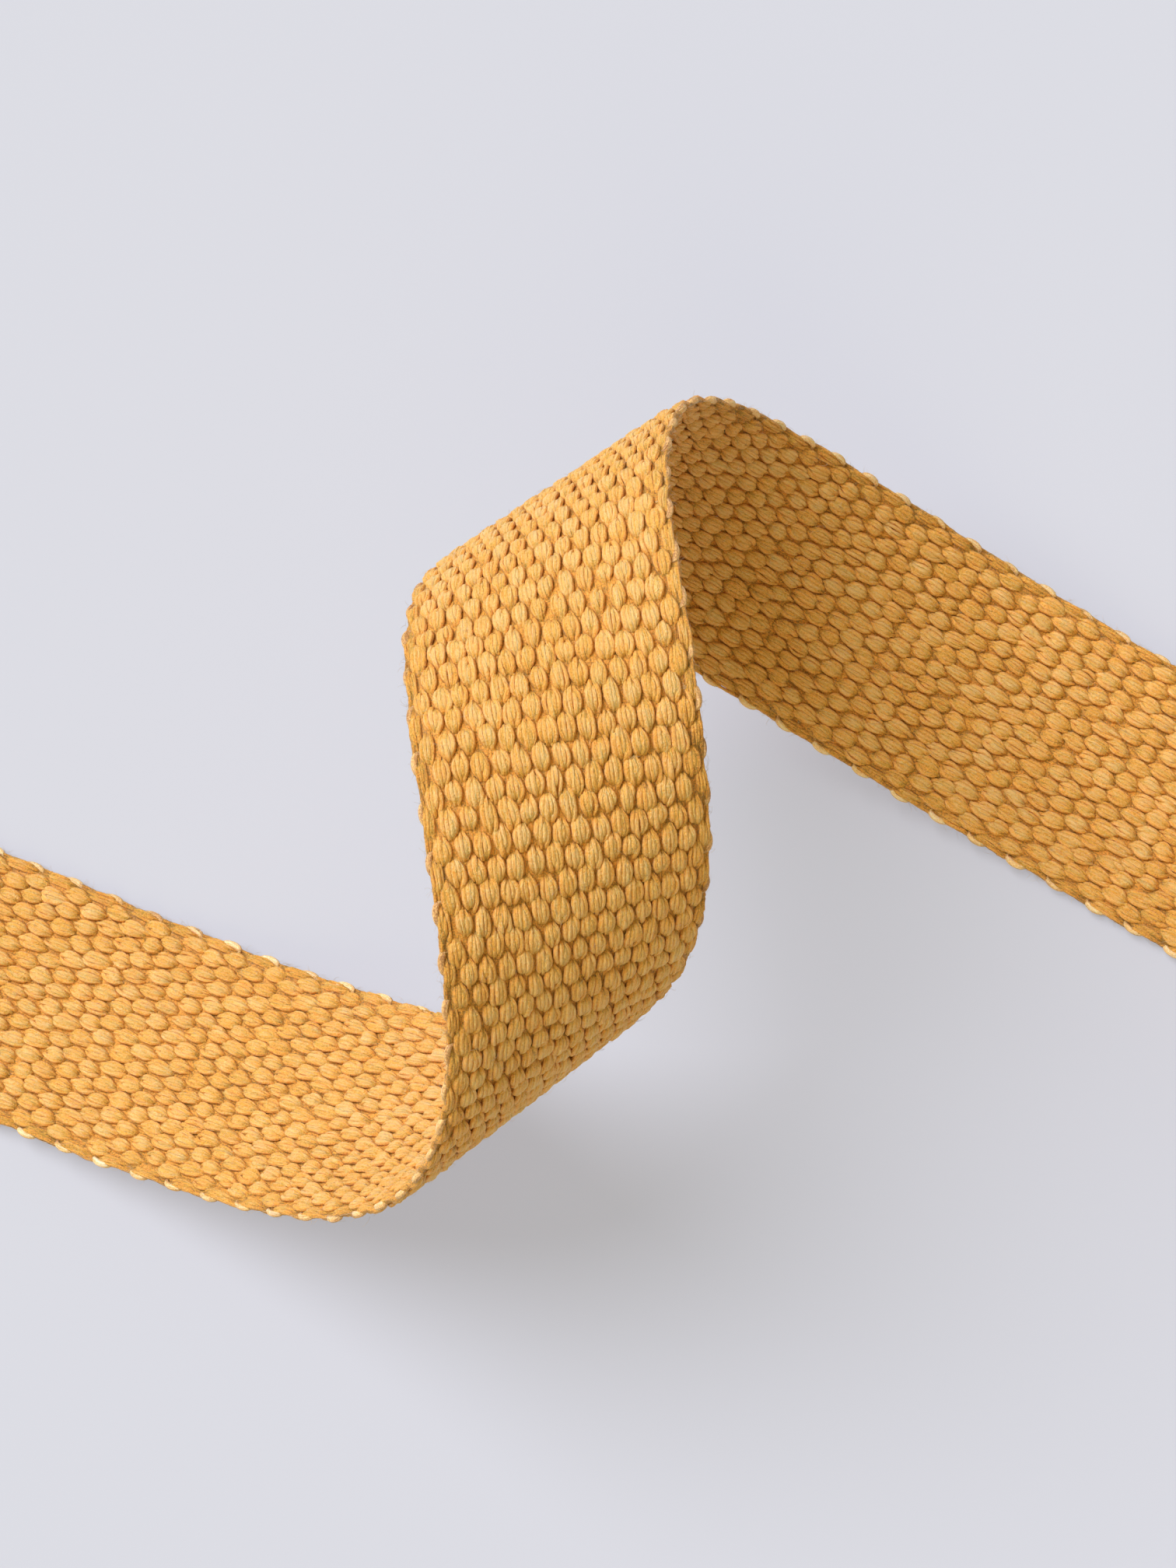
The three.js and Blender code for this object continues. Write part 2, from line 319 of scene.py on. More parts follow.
def sweep(path, normal, half_width, half_height, sides, lay, tone, ragged=0.0):
    """Closed tubes along many paths at once. path and normal are (tubes, rings, 3). lay is each
    ring's distance along its yarn. tone is each ring's own tone, its height over the cloth's middle,
    which the cotton turns into painted shade deep in the weave, and its yarn's tone."""
    along = unit(np.gradient(path, axis=1))
    side = unit(np.cross(normal, along))
    lift = np.cross(along, side)
    angle = 2 * math.pi * np.arange(sides) / sides
    cos, sin = np.cos(angle), np.sin(angle)
    size = 1 + ragged * rng.normal(size=(*path.shape[:2], sides))
    across = (half_width[..., None] * cos * size)[..., None] * side[..., None, :]
    upward = (half_height[..., None] * sin * size)[..., None] * lift[..., None, :]
    vertices = path[..., None, :] + across + upward
    tubes, rings = path.shape[:2]
    shape = (tubes, rings, sides)
    layers = {
        "lay": np.stack(
            [
                np.broadcast_to(cos, shape),
                np.broadcast_to(sin, shape),
                np.broadcast_to(lay[..., None], shape),
            ],
            -1,
        ),
        # The second value is a height, which sets the painted shade: darker deep in the weave, paler at its
        # surface
        "tone": np.stack(
            [
                np.broadcast_to(tone[..., None, 0], shape),
                np.abs(tone[..., None, 1] + half_height[..., None] * sin) / (THICKNESS / 2),
                np.broadcast_to(tone[..., None, 2], shape),
            ],
            -1,
        ),
    }
    number = np.arange(tubes * rings * sides).reshape(shape)
    after = np.roll(number, -1, axis=2)
    quads = np.stack([number[:, :-1], after[:, :-1], after[:, 1:], number[:, 1:]], -1)
    caps = np.concatenate([number[:, 0, ::-1], number[:, -1]])
    return vertices, [quads.reshape(-1, 4), caps], layers


def make_swept(name, swept, material):
    vertices, faces, layers = swept
    return make_mesh(name, vertices, faces, material, layers)


def join(parts):
    """Several sweeps as one."""
    vertices = np.concatenate([p[0].reshape(-1, 3) for p in parts])
    starts = np.cumsum([0] + [p[0].size // 3 for p in parts[:-1]])
    faces = [f + start for p, start in zip(parts, starts) for f in p[1]]
    layers = {k: np.concatenate([p[2][k].reshape(-1, 3) for p in parts]) for k in parts[0][2]}
    return vertices, faces, layers


# ---- Materials ----


def new_material(name):
    material = bpy.data.materials.new(name)
    material.use_nodes = True
    return material, material.node_tree.nodes, material.node_tree.links


# How much each source changes a cotton's tone, from its deep colour at 0 to its pale one. Height in the
# weave paints shade: the deep end is partly painted shade and the pale end partly painted highlight
PAINTED_SHADE_TONE = 0.5
PAINTED_SHADE_CURVE = 1.1
BASE_TONE = 0.15
PLY_TONE = 0.8
FIBRE_TONE = 0.8
PATCH_TONE = 0.25
GRAIN_TONE = 1.0
FLOAT_TONE = 0.16
BODY_AT = 0.42
PALE_AT = 0.85
# How much each source raises the surface
PLY_BUMP = 0.6
FIBRE_BUMP = 0.3
GRAIN_BUMP = 0.35
# Streaks are drawn out along the yarn: their scale along it as a share of that across it
PLY_STRETCH = 0.22
FIBRE_STRETCH = 0.13
FIBRE_FINENESS = 3.2
YARN_OFFSET = 37.0
TWILL_STRENGTH = 0.3


def cotton(name, deep, body, pale, streak_scale, bump_depth, twill=None):
    """Cotton yarn: streaks of fibre along it, floats that differ, painted shade where it dives under and
    paler painted light on its crests. Given twill, the pitch of its lines in millimetres, a herringbone tape
    instead."""
    material, nodes, links = new_material(name)
    shader = nodes["Principled BSDF"]
    shader.inputs["Roughness"].default_value = 0.6
    shader.inputs["Specular IOR Level"].default_value = 0.7
    shader.inputs["Sheen Weight"].default_value = 0.12
    shader.inputs["Sheen Roughness"].default_value = 0.45
    shader.inputs["Sheen Tint"].default_value = (1.0, 0.86, 0.62, 1)
    shader.inputs["Subsurface Weight"].default_value = 0.4
    shader.inputs["Subsurface Radius"].default_value = (1.0, 0.55, 0.2)
    shader.inputs["Subsurface Scale"].default_value = 0.7 * MM

    def node(kind, **settings):
        made = nodes.new(kind)
        for key, value in settings.items():
            setattr(made, key, value)
        return made

    def math_node(operation, a, b=None, clamp=False):
        made = node("ShaderNodeMath", operation=operation, use_clamp=clamp)
        for socket, value in zip(made.inputs, (a, b)):
            if isinstance(value, (int, float)):
                socket.default_value = value
            elif value is not None:
                links.new(value, socket)
        return made.outputs[0]

    lay = node("ShaderNodeAttribute", attribute_name="lay").outputs["Vector"]
    tone = node("ShaderNodeAttribute", attribute_name="tone").outputs["Vector"]
    split = node("ShaderNodeSeparateXYZ")
    links.new(tone, split.inputs[0])
    float_tone, crest, yarn_tone = split.outputs

    def streaks(scale, stretch, detail):
        stretched = node("ShaderNodeVectorMath", operation="MULTIPLY")
        links.new(lay, stretched.inputs[0])
        stretched.inputs[1].default_value = (1, 1, stretch)
        shift = node("ShaderNodeVectorMath", operation="ADD")
        offset = node("ShaderNodeCombineXYZ")
        links.new(math_node("MULTIPLY", yarn_tone, YARN_OFFSET), offset.inputs[2])
        links.new(stretched.outputs[0], shift.inputs[0])
        links.new(offset.outputs[0], shift.inputs[1])
        made = node("ShaderNodeTexNoise")
        made.inputs["Scale"].default_value = scale
        made.inputs["Detail"].default_value = detail
        made.inputs["Roughness"].default_value = 0.62
        links.new(shift.outputs[0], made.inputs["Vector"])
        return made.outputs["Fac"]

    if twill:
        parts = node("ShaderNodeSeparateXYZ")
        links.new(lay, parts.inputs[0])
        slanted = math_node("MULTIPLY", math_node("ABSOLUTE", parts.outputs[0]), TAPE_WIDTH / 2)
        turns = math_node("MULTIPLY", math_node("ADD", slanted, parts.outputs[2]), 2 * math.pi / twill)
        plies = math_node("ADD", math_node("MULTIPLY", math_node("SINE", turns), TWILL_STRENGTH), 0.5)
    else:
        plies = streaks(streak_scale, PLY_STRETCH, detail=2.0)
    fibres = streaks(FIBRE_FINENESS * streak_scale, FIBRE_STRETCH, detail=3.0)
    place = node("ShaderNodeTexCoord").outputs["Object"]
    patches = node("ShaderNodeTexNoise")
    patches.inputs["Scale"].default_value = 55.0
    patches.inputs["Detail"].default_value = 3.0
    links.new(place, patches.inputs["Vector"])
    grain = node("ShaderNodeTexNoise")
    grain.inputs["Scale"].default_value = 3800.0
    grain.inputs["Detail"].default_value = 2.0
    grain.inputs["Roughness"].default_value = 0.65
    links.new(place, grain.inputs["Vector"])

    # crest is 0 deep in the weave and 1 at its surface: painted shade deep down, paler painted light at the
    # top
    value = math_node("MULTIPLY", math_node("POWER", crest, PAINTED_SHADE_CURVE, clamp=True), PAINTED_SHADE_TONE)
    value = math_node("ADD", value, BASE_TONE)
    for amount, source in (
        (PLY_TONE, plies),
        (FIBRE_TONE, fibres),
        (PATCH_TONE, patches.outputs["Fac"]),
        (GRAIN_TONE, grain.outputs["Fac"]),
        (FLOAT_TONE, float_tone),
    ):
        value = math_node("ADD", value, math_node("MULTIPLY", math_node("SUBTRACT", source, 0.5), amount))
    ramp = node("ShaderNodeValToRGB")
    ramp.color_ramp.elements[0].position = 0.0
    ramp.color_ramp.elements[0].color = (*deep, 1)
    ramp.color_ramp.elements[1].position = PALE_AT
    ramp.color_ramp.elements[1].color = (*pale, 1)
    middle = ramp.color_ramp.elements.new(BODY_AT)
    middle.color = (*body, 1)
    links.new(value, ramp.inputs[0])
    links.new(ramp.outputs["Color"], shader.inputs["Base Color"])

    height = math_node("MULTIPLY", plies, PLY_BUMP)
    height = math_node("ADD", height, math_node("MULTIPLY", fibres, FIBRE_BUMP))
    height = math_node("ADD", height, math_node("MULTIPLY", grain.outputs["Fac"], GRAIN_BUMP))
    bump = node("ShaderNodeBump")
    bump.inputs["Distance"].default_value = bump_depth * MM
    bump.inputs["Strength"].default_value = 0.9
    links.new(height, bump.inputs["Height"])
    links.new(bump.outputs["Normal"], shader.inputs["Normal"])
    return material


# The deep colour is mostly painted shade of the crevices, the pale one partly painted highlight on the crests
webbing_cotton = cotton(
    "webbing_cotton",
    deep=(0.30, 0.14, 0.001),
    body=(0.93, 0.385, 0.024),
    pale=(1.0, 0.56, 0.17),
    streak_scale=1.7,
    bump_depth=0.8,
)
# Paler than the webbing's cotton though it is the same yarn: painted highlight on the edge loops and the
# loose fibres
weft_cotton_painted_highlight = cotton(
    "weft_cotton_painted_highlight",
    deep=(0.42, 0.18, 0.03),
    body=(0.97, 0.56, 0.17),
    pale=(1.0, 0.80, 0.44),
    streak_scale=1.8,
    bump_depth=0.6,
)
thread_cotton = cotton(
    "stitching_thread",
    deep=(0.40, 0.24, 0.08),
    body=(0.84, 0.56, 0.24),
    pale=(0.95, 0.72, 0.38),
    streak_scale=2.2,
    bump_depth=0.1,
)
tape_cotton = cotton(
    "tape_cotton",
    deep=(0.40, 0.29, 0.15),
    body=(0.74, 0.60, 0.38),
    pale=(0.86, 0.75, 0.53),
    streak_scale=2.6,
    bump_depth=0.35,
    twill=0.9,
)


# ---- Camera ----


def make_camera():
    tilt = Matrix.Rotation(math.radians(TILT), 3, "X")
    lean = Matrix.Rotation(math.radians(LEAN), 3, "Y")
    roll = Matrix.Rotation(math.radians(ROLL), 3, "Z")
    turned = tilt @ lean @ roll
    place = Vector(TARGET) + turned.row[2] * DISTANCE
    data = bpy.data.cameras.new("camera")
    data.sensor_fit = "HORIZONTAL"
    data.sensor_width = SENSOR
    data.lens = LENS
    data.clip_start = 0.01
    camera = bpy.data.objects.new("camera", data)
    camera.matrix_world = Matrix.Translation(place * MM) @ turned.transposed().to_4x4()
    bpy.context.scene.collection.objects.link(camera)
    bpy.context.scene.camera = camera


make_camera()

# ---- Warp ----
# At each pick, each end has five uneven values: how high it waves, its phase, its width, how far it
# lies to one side, and its thickness. Its plies have the same, and use the first four.
PICKS_BEFORE = 2
picks = int(math.ceil((BELT_LENGTH + 2 * TURNED_BACK) / PICK)) + 2 * PICKS_BEFORE
pick_at = (np.arange(picks) - PICKS_BEFORE) * PICK - TURNED_BACK
uneven_ends = rng.normal(size=(ENDS, picks, 5))
uneven_plies = rng.normal(size=(ENDS, PLIES, picks, 5))
float_tones = rng.random((ENDS, picks))
ply_tones = rng.random((ENDS, PLIES))


def end_size(floating, edge, wide, tall):
    """Half the width and height of a warp end, whose floats are wide and low and crossings narrow."""
    width = lerp(CROSSING_WIDTH, CREST_WIDTH * (1 + END_WIDTH_VARIES * wide), floating)
    width = np.where(edge, EDGE_END_WIDTH * (1 + EDGE_WIDTH_VARIES * wide), width)
    height = lerp(CROSSING_HEIGHT, CREST_HEIGHT * (1 + END_HEIGHT_VARIES * tall), floating)
    height = np.where(edge, EDGE_END_HEIGHT * (1 + END_HEIGHT_VARIES * tall), height)
    return width / 2, height / 2


def warp(ends, first, last, steps, sides, plies=PLIES):
    """Warp ends from one place on the cloth to another, each weaving over and under the picks. The
    plies of an end lie side by side where it floats and in a bunch where it crosses."""
    rings = int(round((last - first) / PICK * steps)) + 1
    u = np.linspace(first, last, rings)
    pairs = [(end, ply) for end in ends for ply in range(plies)]

    def varied(rows):
        return np.stack([np.interp(u, pick_at, row) for row in rows])

    wave, shift, wide, wander, tall = (varied([uneven_ends[e, :, k] for e, _ in pairs]) for k in range(5))
    ply_rise, ply_shift, ply_wide, ply_wander = (
        varied([uneven_plies[e, p, :, k] for e, p in pairs]) for k in range(4)
    )
    number = np.array([e for e, _ in pairs])[:, None]
    ply = np.array([p for _, p in pairs])[:, None]
    from_middle = number - (ENDS - 1) / 2
    from_edge = np.minimum(number, ENDS - 1 - number)
    edge = from_edge == 0

    phase = math.pi * (u[None] / PICK + number) + END_SHIFT * shift
    if plies > 1:
        phase = phase + PLY_SHIFT * ply_shift
    crest = np.cos(phase)
    floating = np.abs(crest) ** FLOAT_FULLNESS
    end_half_width, end_half_height = end_size(floating, edge, wide, tall)
    v = from_middle * END_PITCH + END_WANDER * wander - np.sign(from_middle) * np.where(edge, EDGE_INSET, 0.0)
    h = WAVE * np.tanh(WAVE_FLATNESS * crest) / math.tanh(WAVE_FLATNESS) * (1 + END_WAVE_VARIES * wave)
    h = h * np.interp(from_edge, range(len(EDGE_WAVES) + 1), (*EDGE_WAVES, 1.0))
    half_width, half_height = end_half_width, end_half_height
    if plies > 1:
        place = 2 * ply / (plies - 1) - 1
        half_width = half_width * lerp(BUNCHED_SHARE, PLY_SHARE, floating) * (1 + PLY_WIDTH_VARIES * ply_wide)
        half_height = half_height * lerp(BUNCHED_SHARE, PLY_HEIGHT, floating)
        v = v + (end_half_width - half_width) * place + PLY_WANDER * ply_wander
        stacked = np.where(ply % 2 == 0, 1.0, -1.0) * (end_half_height - half_height)
        arched = np.sign(crest) * (ARCH_MIDDLE - ARCH_DROP * place**2 + PLY_RISE * ply_rise)
        h = h + lerp(stacked, arched, floating)
    path = on_cloth(u[None], v, h)
    normal = on_cloth(u[None], v, h + NORMAL_STEP) - path

    nearest = np.clip(np.round(phase / math.pi - number + TURNED_BACK / PICK + PICKS_BEFORE), 0, picks - 1)
    float_tone = float_tones[number, nearest.astype(int)]
    yarn_tone = np.broadcast_to(ply_tones[number, ply], crest.shape)
    # h also sets the painted shade: darker where an end dives under, paler on its floats
    tones = np.stack([float_tone, h, yarn_tone], -1)
    lay = np.broadcast_to(u[None], crest.shape)
    return sweep(path, normal, half_width, half_height, sides, lay, tones, ragged=RAGGED)


roll_u = ROLL_AT - TIP_AT - HAIRPIN
outer_wrap = 2 * math.pi * spiral_start
core_turns_u = CLOTH_END - WHOLE_CORE_TURNS * 2 * math.pi * spiral_end
webbing_pieces = []


def add_warp(name, *args):
    webbing_pieces.append(make_swept(name, warp(*args), webbing_cotton))


def groups_of(size):
    """The warp ends in groups, numbered from 1."""
    return enumerate((range(k, min(k + size, ENDS)) for k in range(0, ENDS, size)), 1)


for number, ends in groups_of(RUN_GROUP):
    add_warp(f"warp_run_{number}", ends, -TURNED_BACK, roll_u, RUN_STEPS, PLY_SIDES)
for number, ends in groups_of(TURN_GROUP):
    add_warp(f"warp_outer_turn_{number}", ends, roll_u, roll_u + outer_wrap, TURN_STEPS, PLY_SIDES)
# Further in, only the ends at the edges show, and inside the core all of them do.
edge_ends = [0, 1, ENDS - 2, ENDS - 1]
add_warp("warp_turns", edge_ends, roll_u + outer_wrap, core_turns_u, TURN_STEPS, WHOLE_END_SIDES, 1)
cloth_stop = CLOTH_END + TURNED_BACK
add_warp("warp_core_turn", range(ENDS), core_turns_u, cloth_stop, TURN_STEPS, WHOLE_END_SIDES, 1)

# ---- Weft: it turns back round the outermost end at each edge ----
TURN_REACH = WIDTH / 2 - 0.4
LEG_FROM = WIDTH / 2 - 6.0
LOOP_GAP = 0.15
LOOP_BOW = 0.7
LOOP_FATNESS_VARIES = 0.22
LOOP_SHIFT = 0.1
LOOP_RISE = 0.12
WEFT_HALF_WIDTH = 0.3
WEFT_HALF_HEIGHT = 0.2
LOOP_WIDENS = 0.17
LOOP_THICKENS = 0.34
# Loops paler at their tips, a painted highlight, and darker in their legs, painted shade where they dive in
LOOP_SHADE_HEIGHT = 0.5


def weft_turns(first, last, rounds, sides):
    """The weft's loops at both edges, between one pick and the next."""
    k = np.arange(math.ceil(first / PICK), math.floor(last / PICK))
    edge = np.where(k % 2 == 0, 1.0, -1.0)[:, None]
    half_gap = PICK / 2 - LOOP_GAP
    angle = np.linspace(-math.pi / 2, math.pi / 2, rounds)
    across = np.concatenate([[LEG_FROM], TURN_REACH - LOOP_BOW + LOOP_BOW * np.cos(angle), [LEG_FROM]])
    along = np.concatenate([[-half_gap], half_gap * np.sin(angle), [half_gap]])
    count = len(k)
    loose = 1 + LOOP_FATNESS_VARIES * rng.normal(size=(count, 1))
    u = (k[:, None] + 0.5) * PICK + along[None] + LOOP_SHIFT * rng.normal(size=(count, 1))
    v = edge * (across[None] + LOOP_SHIFT * (loose - 1))
    fat = np.concatenate([[0.0], np.cos(angle) ** 0.5, [0.0]])[None] * loose
    h = LOOP_RISE * rng.normal(size=(count, 1)) * np.sign(fat)
    path = on_cloth(u, v, h)
    normal = on_cloth(u, v, h + NORMAL_STEP) - path
    loop_tone = np.broadcast_to(rng.random((count, 1)), u.shape)
    yarn_tone = np.broadcast_to(rng.random((count, 1)), u.shape)
    tones = np.stack([loop_tone, LOOP_SHADE_HEIGHT * np.clip(fat, 0, 1), yarn_tone], -1)
    lay = np.broadcast_to(np.cumsum(np.hypot(np.gradient(across), np.gradient(along)))[None], u.shape)
    half_width = WEFT_HALF_WIDTH + LOOP_WIDENS * fat
    half_height = WEFT_HALF_HEIGHT + LOOP_THICKENS * fat
    return sweep(path, normal, half_width, half_height, sides, lay, tones)


for name, first, last, rounds, sides in (
    ("selvedge_run", -TURNED_BACK + PICK, roll_u + outer_wrap, 9, 8),
    ("selvedge_turns", roll_u + outer_wrap, CLOTH_END + TURNED_BACK - PICK, 7, 6),
):
    webbing_pieces.append(make_swept(name, weft_turns(first, last, rounds, sides), weft_cotton_painted_highlight))

# ---- Loose fibres that stand off the cotton ----
FIBRES = 6000
FIBRE_RADIUS = 0.022
FIBRE_TAPER = 0.6
FIBRE_POINTS = 6
SHORTEST_FIBRE = 0.8
LONGEST_FIBRE = 2.6
FIBRE_BEND = 1.6
FIBRES_AT_EDGES = 0.4
FIBRES_ON_TOP = 0.7
LOWEST_ARC = 0.15
HIGHEST_ARC = 0.5
ARC_END = 2.2
EDGE_ARC_SHARE = 0.25
EDGE_LEAN = 0.5
FACE_HEIGHT = 1.12
EDGE_HEIGHT = 0.4
FIBRE_INSET = 0.5
EDGE_ROOM = 0.7
# The height that sets the fibres' painted tone: at the cloth's surface, so they take the paler painted light
FIBRE_SHADE_HEIGHT = 1.3
FIBRE_SIDES = 3


def loose_fibres():
    """Short curved fibres, rooted in both faces and both edges of the run."""
    one_each = (FIBRES, 1)
    u = rng.uniform(-TURNED_BACK, roll_u + outer_wrap, one_each)
    at_edge = rng.random(one_each) < FIBRES_AT_EDGES
    face = np.where(rng.random(one_each) < FIBRES_ON_TOP, 1.0, -1.0)
    side = np.sign(rng.uniform(-1, 1, one_each))
    spread = np.where(at_edge, side, rng.uniform(-1, 1, one_each))
    length = rng.uniform(SHORTEST_FIBRE, LONGEST_FIBRE, one_each)
    heading = rng.uniform(0, 2 * math.pi, one_each)
    bend = rng.uniform(-FIBRE_BEND, FIBRE_BEND, one_each)
    t = np.linspace(0, 1, FIBRE_POINTS)[None]
    direction = heading + bend * t
    du = np.cumsum(np.cos(direction), axis=1) / FIBRE_POINTS * length
    dv = np.cumsum(np.sin(direction), axis=1) / FIBRE_POINTS * length
    arc = rng.uniform(LOWEST_ARC, HIGHEST_ARC, one_each) * np.sin(t * ARC_END)
    v = spread * (WIDTH / 2 - FIBRE_INSET) + np.where(at_edge, spread * np.abs(dv) * EDGE_LEAN, dv)
    h = face * np.where(at_edge, EDGE_HEIGHT + EDGE_ARC_SHARE * arc, FACE_HEIGHT + arc)
    furthest = WIDTH / 2 + EDGE_ROOM
    path = on_cloth(u + du, np.clip(v, -furthest, furthest), h)
    normal = on_cloth(u + du, v, h + NORMAL_STEP) - path
    radius = FIBRE_RADIUS * (1 - FIBRE_TAPER * t) * np.ones_like(length)
    fibre_tone = np.broadcast_to(rng.random(one_each), du.shape)
    yarn_tone = np.broadcast_to(rng.random(one_each), du.shape)
    tones = np.stack([fibre_tone, np.full(du.shape, FIBRE_SHADE_HEIGHT), yarn_tone], -1)
    return sweep(path, normal, radius, radius, FIBRE_SIDES, length * t, tones)


webbing_pieces.append(make_swept("loose_fibres", loose_fibres(), weft_cotton_painted_highlight))

# ---- The cloth's middle layer, where warp and weft cross ----
CORE_INSET = 1.4
CORE_SHORT_BY = 1.0
CORE_ROWS = 1100
CORE_COLUMNS = 9
# Low in the weave, so the sheet takes a darker tone: painted shade where it shows between the yarns
CORE_SHADE_HEIGHT = 0.2


def cloth_core():
    """A thin closed sheet from cut end to cut end, which the yarns cover."""
    reach = WIDTH / 2 - CORE_INSET
    u = np.linspace(CORE_SHORT_BY - TURNED_BACK, CLOTH_END + TURNED_BACK - CORE_SHORT_BY, CORE_ROWS)
    v = np.linspace(-reach, reach, CORE_COLUMNS)
    uu, vv = np.meshgrid(u, v, indexing="ij")
    top = on_cloth(uu, vv, CORE_HALF)
    under = on_cloth(uu, vv, -CORE_HALF)
    rows, cols = uu.shape
    a = np.arange(rows * cols).reshape(rows, cols)
    b = a + rows * cols
    sheets = [
        np.stack([a[:-1, :-1], a[1:, :-1], a[1:, 1:], a[:-1, 1:]], -1),
        np.stack([b[:-1, :-1], b[:-1, 1:], b[1:, 1:], b[1:, :-1]], -1),
    ]
    rim = np.concatenate([a[:, 0], a[-1, 1:], a[-2::-1, -1], a[0, -2:0:-1]])
    under_rim = rim + rows * cols
    walls = np.stack([rim, under_rim, np.roll(under_rim, -1), np.roll(rim, -1)], -1)
    faces = [*(f.reshape(-1, 4) for f in sheets), walls]
    lay = np.stack([vv, vv * 0, uu], -1)
    # A darker tone throughout: painted shade for the gaps between the yarns
    tone = np.broadcast_to((0.5, CORE_SHADE_HEIGHT, 0.5), (rows, cols, 3))
    layers = {"lay": np.concatenate([lay, lay]), "tone": np.concatenate([tone, tone])}
    return make_mesh("webbing_core", np.concatenate([top, under]), faces, webbing_cotton, layers)


core = cloth_core()

# ---- Box stitches that hold the hems ----
STITCH = 3.0
STITCH_RINGS = 9
STITCH_DIVES = 1.1
STITCH_WANDER = 0.08
STITCH_RISE = 0.05
STITCH_GAP = 0.04
# How much darker the thread is where it sinks into the cloth: painted shade
STITCH_SINK_SHADE = 0.9
STITCH_STREAKS = 3.0
THREAD = 0.5
THREAD_FLATNESS = 0.85
THREAD_SIDES = 8
HEM_MARGIN = 1.0
BOX = (15.0, 33.0)
HEM_TOP = 2 * HAIRPIN + THICKNESS / 2


def box_stitch_lines():
    """The seam as straight lines from corner to corner: the box, then its diagonals."""
    x, y = BOX[0] / 2, BOX[1] / 2
    corners = [(-x, -y), (x, -y), (x, y), (-x, y)]
    order = [0, 1, 2, 3, 0, 2], [3, 1]
    return [(corners[a], corners[b]) for run in order for a, b in zip(run, run[1:])]


def stitches(height, outward, middle):
    """Stitches over the hem at a height over the strap, with outward +1 for its upper side."""
    starts, ends = [], []
    for a, b in box_stitch_lines():
        a, b = np.array(a), np.array(b)
        count = max(int(round(np.linalg.norm(b - a) / STITCH)), 1)
        t = np.arange(count)[:, None] / count
        starts.append(a + (b - a) * t)
        ends.append(a + (b - a) * (t + 1 / count))
    starts, ends = np.concatenate(starts), np.concatenate(ends)
    t = np.linspace(STITCH_GAP, 1 - STITCH_GAP, STITCH_RINGS)
    xy = starts[:, None] + (ends - starts)[:, None] * t[None, :, None]
    xy += STITCH_WANDER * rng.normal(size=(len(starts), 1, 2))
    sink = np.abs(2 * t[None] - 1) ** 3
    rise = STITCH_RISE * rng.normal(size=(len(starts), 1))
    h = height + outward * (THREAD / 2 - STITCH_DIVES * sink + rise)
    s = middle + xy[..., 0]
    path = on_strap(s, xy[..., 1], h)
    normal = on_strap(s, xy[..., 1], h + NORMAL_STEP) - path
    half = np.full(path.shape[:2], THREAD / 2)
    stitch_tone = np.broadcast_to(rng.random((len(starts), 1)), h.shape)
    yarn_tone = np.broadcast_to(rng.random((len(starts), 1)), h.shape)
    # Painted shade where the thread sinks into the cloth
    crest = np.broadcast_to(1 - STITCH_SINK_SHADE * sink, h.shape)
    tones = np.stack([stitch_tone, crest, yarn_tone], -1)
    lay = np.broadcast_to(STITCH_STREAKS * t[None] * STITCH, h.shape)
    return sweep(path, normal, half, half * THREAD_FLATNESS, THREAD_SIDES, lay, tones)


tip_middle = TIP_AT + HEM_LENGTH / 2 + HEM_MARGIN
end_middle = TIP_AT + BELT_LENGTH - HEM_LENGTH / 2 - HEM_MARGIN
hem_top = make_swept("hem_stitches_top", stitches(HEM_TOP, 1, tip_middle), thread_cotton)
hem_under = make_swept("hem_stitches_under", stitches(-THICKNESS / 2, -1, tip_middle), thread_cotton)
inner_hem = make_swept("inner_hem_stitches", stitches(HEM_TOP, 1, end_middle), thread_cotton)

# ---- Tape that ties the roll, and its knot ----
TIE_TURN = 130.0
# From the strap to the middle of the tape
ROOM_OUTSIDE = 0.7
ROOM_INSIDE = 0.9
ROOM_AT_SIDES = 0.9
TAPE_CORNER = 1.8
CORNER_STEPS = 6
BAND_RINGS = 260
BAND_SIDES = 20
TAPE_EDGE_RIPPLE = 0.012
TAPE_RIPPLE_PITCH = 1.1
TAPE_CREST = 0.8
tie_turn = math.radians(TIE_TURN)
tie_out = math.sin(tie_turn) * level - math.cos(tie_turn) * up
tie_side = np.cross(axle, tie_out)
full_turns = math.floor(ROLL_TURNS - TIE_TURN / 360)
tape_outside = spiral_start - spiral_pitch * TIE_TURN / 360 + THICKNESS / 2 + ROOM_OUTSIDE
tape_inside = spiral_start - spiral_pitch * (full_turns + TIE_TURN / 360) - THICKNESS / 2 - ROOM_INSIDE


def tape_tones(far):
    """One even tone along a tape."""
    return np.broadcast_to((0.5, TAPE_CREST, 0.5), (1, len(far), 3))


